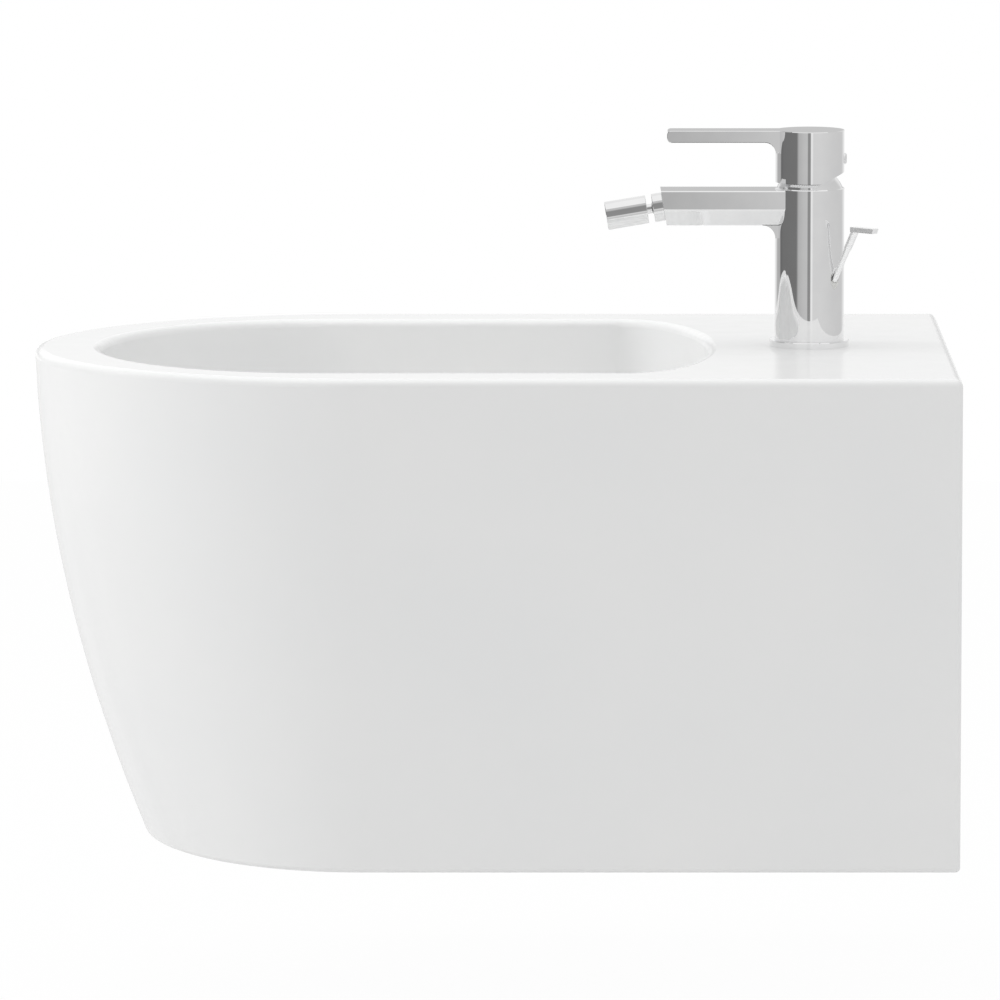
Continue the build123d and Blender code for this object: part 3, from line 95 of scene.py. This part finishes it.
# Materials: small helpers that build node trees
class Tree:
    def __init__(self, name):
        self.material = bpy.data.materials.new(name)
        self.material.use_nodes = True
        self.nodes = self.material.node_tree.nodes
        self.links = self.material.node_tree.links
        self.shader = self.nodes["Principled BSDF"]
        self.place = self.add("ShaderNodeTexCoord").outputs["Object"]

    def add(self, kind, **settings):
        node = self.nodes.new(kind)
        for key, value in settings.items():
            setattr(node, key, value)
        return node

    def set(self, **inputs):
        for key, value in inputs.items():
            self.shader.inputs[key.replace("_", " ")].default_value = value

    def link(self, source, target):
        self.links.new(source, target)

    def noise(self, scale, detail=2.0, roughness=0.5, source=None):
        node = self.add("ShaderNodeTexNoise")
        node.inputs["Scale"].default_value = scale
        node.inputs["Detail"].default_value = detail
        node.inputs["Roughness"].default_value = roughness
        self.link(source or self.place, node.inputs["Vector"])
        return node.outputs["Fac"]

    def stretch(self, x, y, z):
        node = self.add("ShaderNodeMapping")
        node.inputs["Scale"].default_value = (x, y, z)
        self.link(self.place, node.inputs["Vector"])
        return node.outputs["Vector"]

    def ramp(self, source, low, high, low_at=0.3, high_at=0.7):
        node = self.add("ShaderNodeValToRGB")
        node.color_ramp.elements[0].position = low_at
        node.color_ramp.elements[1].position = high_at
        node.color_ramp.elements[0].color = (*low, 1)
        node.color_ramp.elements[1].color = (*high, 1)
        self.link(source, node.inputs["Fac"])
        return node.outputs["Color"]

    def span(self, source, low, high):
        node = self.add("ShaderNodeMapRange")
        node.inputs["To Min"].default_value = low
        node.inputs["To Max"].default_value = high
        self.link(source, node.inputs["Value"])
        return node.outputs["Result"]

    def bump(self, source, strength, distance):
        node = self.add("ShaderNodeBump")
        node.inputs["Strength"].default_value = strength
        node.inputs["Distance"].default_value = distance
        self.link(source, node.inputs["Height"])
        self.link(node.outputs["Normal"], self.shader.inputs["Normal"])

    def colour(self, source):
        self.link(source, self.shader.inputs["Base Color"])

    def rough(self, source):
        self.link(source, self.shader.inputs["Roughness"])


def glazed_ceramic():
    tree = Tree("glazed_ceramic")
    tree.set(IOR=1.52, Coat_Weight=0.25, Coat_Roughness=0.08)
    tree.colour(tree.ramp(tree.noise(6.0, 3.0), (0.86, 0.865, 0.865), (0.885, 0.885, 0.88)))
    tree.rough(tree.span(tree.noise(45.0, 2.0), 0.15, 0.20))
    tree.bump(tree.noise(60.0, 1.0), 0.03, 0.0004)
    return tree.material


def polished_chrome(name="chrome", base=0.80, rough=(0.010, 0.020)):
    tree = Tree(name)
    tree.set(Metallic=1.0)
    low = (base, base, base * 1.005)
    high = (base + 0.03,) * 3
    tree.colour(tree.ramp(tree.noise(90.0), low, high))
    tree.rough(tree.span(tree.noise(240.0, 3.0), *rough))
    return tree.material


def brushed_steel():
    tree = Tree("brushed_steel")
    tree.set(Metallic=1.0)
    grain = tree.noise(500.0, 4.0, 0.6, tree.stretch(1.0, 1.0, 0.06))
    tree.colour(tree.ramp(grain, (0.50, 0.51, 0.52), (0.66, 0.67, 0.68)))
    tree.rough(tree.span(grain, 0.22, 0.38))
    tree.bump(grain, 0.12, 0.0001)
    return tree.material


def machined_brass():
    tree = Tree("machined_brass")
    tree.set(Metallic=1.0)
    rings = tree.noise(700.0, 3.0, 0.5, tree.stretch(0.05, 0.05, 1.0))
    tree.colour(tree.ramp(rings, (0.60, 0.44, 0.19), (0.76, 0.60, 0.30)))
    tree.rough(tree.span(rings, 0.20, 0.36))
    tree.bump(rings, 0.15, 0.0001)
    return tree.material


def black_rubber():
    tree = Tree("black_rubber")
    tree.colour(tree.ramp(tree.noise(160.0, 4.0), (0.018, 0.018, 0.019), (0.040, 0.040, 0.042)))
    tree.rough(tree.span(tree.noise(300.0, 3.0), 0.62, 0.82))
    tree.bump(tree.noise(900.0, 2.0), 0.25, 0.0001)
    return tree.material


def moulded_plastic(name, low, high):
    tree = Tree(name)
    tree.colour(tree.ramp(tree.noise(40.0, 3.0), low, high))
    tree.rough(tree.span(tree.noise(420.0, 2.0), 0.34, 0.48))
    tree.bump(tree.noise(1400.0, 2.0), 0.12, 0.0001)
    return tree.material


def lapped_ceramic():
    tree = Tree("lapped_ceramic")
    tree.colour(tree.ramp(tree.noise(300.0, 3.0), (0.80, 0.78, 0.71), (0.87, 0.85, 0.79)))
    tree.rough(tree.span(tree.noise(500.0, 2.0), 0.16, 0.26))
    tree.bump(tree.noise(900.0, 2.0), 0.05, 0.0001)
    return tree.material


FINISHES = {
    "glazed_ceramic": glazed_ceramic(),
    "chrome": polished_chrome(),
    "brass": machined_brass(),
    "steel": brushed_steel(),
    "black_rubber": black_rubber(),
    "white_plastic": moulded_plastic("white_plastic", (0.70, 0.70, 0.68), (0.80, 0.80, 0.78)),
    "grey_plastic": moulded_plastic("grey_plastic", (0.15, 0.155, 0.16), (0.21, 0.215, 0.22)),
    "disc_ceramic": lapped_ceramic(),
}


# The knob and its rod are duller than the rest of the chrome: a rougher satin finish, which is real, and
# a base colour painted lighter (0.92 against 0.80), a painted sheen that stands in for the brighter
# reflection on their faces
SATIN_PAINTED_LIGHTER_NODES = ("lift_knob", "lift_rod")
SATIN_PAINTED_LIGHTER_CHROME = polished_chrome("satin_painted_lighter_chrome", 0.92, (0.30, 0.36))


def dress_nodes():
    for row in frame["record"]["subparts"]:
        piece = frame["nodes"][row["node"]]
        piece.data.materials.clear()
        piece.data.materials.append(FINISHES[row["material_slot"]])
    # The knob and rod get the rougher satin chrome, whose base colour is painted lighter as a painted
    # sheen
    for name in SATIN_PAINTED_LIGHTER_NODES:
        frame["nodes"][name].data.materials[0] = SATIN_PAINTED_LIGHTER_CHROME


# Studio: camera, white world, pale floor and soft lamps
def add_camera():
    data = bpy.data.cameras.new("camera")
    data.lens = FOCAL
    data.sensor_width = SENSOR
    camera = bpy.data.objects.new("camera", data)
    camera.location = CAMERA_AT
    camera.rotation_euler = (math.pi / 2 - CAMERA_PITCH, 0, 0)
    data.clip_end = CAMERA_REACH
    scene.collection.objects.link(camera)
    scene.camera = camera


# Node chain of a world or material: one node fed by another's output or by a number
def chain(tree, kind, *sources, **settings):
    node = tree.nodes.new(kind)
    for key, value in settings.items():
        setattr(node, key, value)
    for place, source in enumerate(sources):
        if isinstance(source, bpy.types.NodeSocket):
            tree.links.new(source, node.inputs[place])
        else:
            node.inputs[place].default_value = source
    return node


# Mix of two levels, each an output or a number
def blend(tree, share, first, second):
    node = chain(tree, "ShaderNodeMix", share, data_type="FLOAT")
    for name, source in (("A", first), ("B", second)):
        if isinstance(source, bpy.types.NodeSocket):
            tree.links.new(source, node.inputs[name])
        else:
            node.inputs[name].default_value = source
    return node.outputs[0]


# Brightness read from a table of degrees and levels
def levels_around(tree, turn, table):
    first, last = table[0][0], table[-1][0]
    ends = math.radians(first), math.radians(last)
    share = chain(tree, "ShaderNodeMapRange", turn, *ends).outputs["Result"]
    ramp = chain(tree, "ShaderNodeValToRGB", share)
    stops = ramp.color_ramp.elements
    while len(stops) < len(table):
        stops.new(1.0)
    for stop, (angle, level) in zip(stops, table):
        stop.position = (angle - first) / (last - first)
        stop.color = (level, level, level, 1)
    return ramp.outputs["Color"]


# One Math node fed by outputs or numbers
def math_node(tree, operation, *sources):
    return chain(tree, "ShaderNodeMath", *sources, operation=operation).outputs[0]


# The world is white to the camera, a plain fill to the object, and striped to what is mirrored
def add_world():
    world = bpy.data.worlds.new("studio")
    world.use_nodes = True
    scene.world = world
    tree = world.node_tree
    path = tree.nodes.new("ShaderNodeLightPath")
    clear = math_node(tree, "MAXIMUM", path.outputs["Is Camera Ray"], path.outputs["Is Transmission Ray"])
    ray = tree.nodes.new("ShaderNodeTexCoord").outputs["Generated"]
    split = chain(tree, "ShaderNodeSeparateXYZ", ray).outputs
    toward_camera = math_node(tree, "MULTIPLY", split["Y"], -1.0)
    turn = math_node(tree, "ARCTAN2", split["X"], toward_camera)
    horizon = levels_around(tree, turn, SURROUND)
    low = math_node(tree, "LESS_THAN", split["Z"], SURROUND_LOW_EDGE)
    deep = math_node(tree, "LESS_THAN", split["Z"], SURROUND_DEEP_EDGE)
    away = math_node(tree, "GREATER_THAN", split["Y"], CAMERA_SIDE)
    far_side = blend(tree, STRIPES_BELOW, SURROUND_BELOW, horizon)
    far_below = blend(tree, away, SURROUND_FAR_BELOW, far_side)
    around = blend(tree, low, horizon, blend(tree, deep, SURROUND_BELOW, far_below))
    near_level = math_node(tree, "COMPARE", split["Z"], TOPS_MIRROR_MIDDLE, TOPS_MIRROR_MIDDLE)
    at_wall = math_node(tree, "GREATER_THAN", split["Y"], WALL_SIDE)
    band = math_node(tree, "MULTIPLY", near_level, at_wall)
    above = math_node(tree, "GREATER_THAN", split["Z"], OVERHEAD_EDGE)
    banded = blend(tree, above, blend(tree, band, around, TOPS_MIRROR), OVERHEAD)
    twice = math_node(tree, "GREATER_THAN", path.outputs["Glossy Depth"], ONCE_OR_TWICE)
    paler = math_node(tree, "MULTIPLY", twice, TWICE_SHARE)
    mirrored = blend(tree, paler, banded, TWICE_MIRRORED)
    fill = blend(tree, path.outputs["Is Glossy Ray"], WORLD_FILL, mirrored)
    level = math_node(tree, "MAXIMUM", fill, clear)
    tree.links.new(level, tree.nodes["Background"].inputs["Strength"])
    tree.nodes["Background"].inputs["Color"].default_value = WHITE


def add_floor():
    low = cad_box[0][2] - FLOOR_BELOW_BODY
    mesh = bpy.data.meshes.new("floor")
    half = FLOOR_SIZE / 2
    corners = [(-half, -half, low), (half, -half, low), (half, half, low), (-half, half, low)]
    mesh.from_pydata(corners, [], [(0, 1, 2, 3)])
    floor = bpy.data.objects.new("floor", mesh)
    scene.collection.objects.link(floor)
    tree = Tree("pale_floor")
    tree.colour(tree.ramp(tree.noise(3.0), (0.86, 0.86, 0.86), (0.88, 0.88, 0.88)))
    tree.set(Roughness=0.6)
    glow = tree.add("ShaderNodeEmission")
    glow.inputs["Color"].default_value = WHITE
    path = tree.add("ShaderNodeLightPath")
    seen = math_node(tree, "MAXIMUM", path.outputs["Is Camera Ray"], path.outputs["Is Transmission Ray"])
    plain = math_node(tree, "MULTIPLY", seen, FLOOR_GLOW)
    metal = math_node(tree, "MULTIPLY", path.outputs["Is Glossy Ray"], FLOOR_GLOW_IN_METAL)
    share = math_node(tree, "MAXIMUM", plain, metal)
    mix = tree.add("ShaderNodeMixShader")
    tree.link(share, mix.inputs["Fac"])
    tree.link(tree.shader.outputs[0], mix.inputs[1])
    tree.link(glow.outputs[0], mix.inputs[2])
    tree.link(mix.outputs[0], tree.nodes["Material Output"].inputs["Surface"])
    mesh.materials.append(tree.material)
    floor.visible_glossy = False


def add_lamp(name, at, aim, size, power):
    data = bpy.data.lights.new(name, "AREA")
    data.shape = "RECTANGLE"
    data.size, data.size_y = size
    data.energy = power
    lamp = bpy.data.objects.new(name, data)
    lamp.location = at
    lamp.rotation_euler = (Vector(aim) - Vector(at)).to_track_quat("-Z", "Y").to_euler()
    lamp.visible_glossy = False
    scene.collection.objects.link(lamp)


dress_nodes()
add_camera()
add_world()
add_floor()
for lamp_settings in LAMPS:
    add_lamp(*lamp_settings)
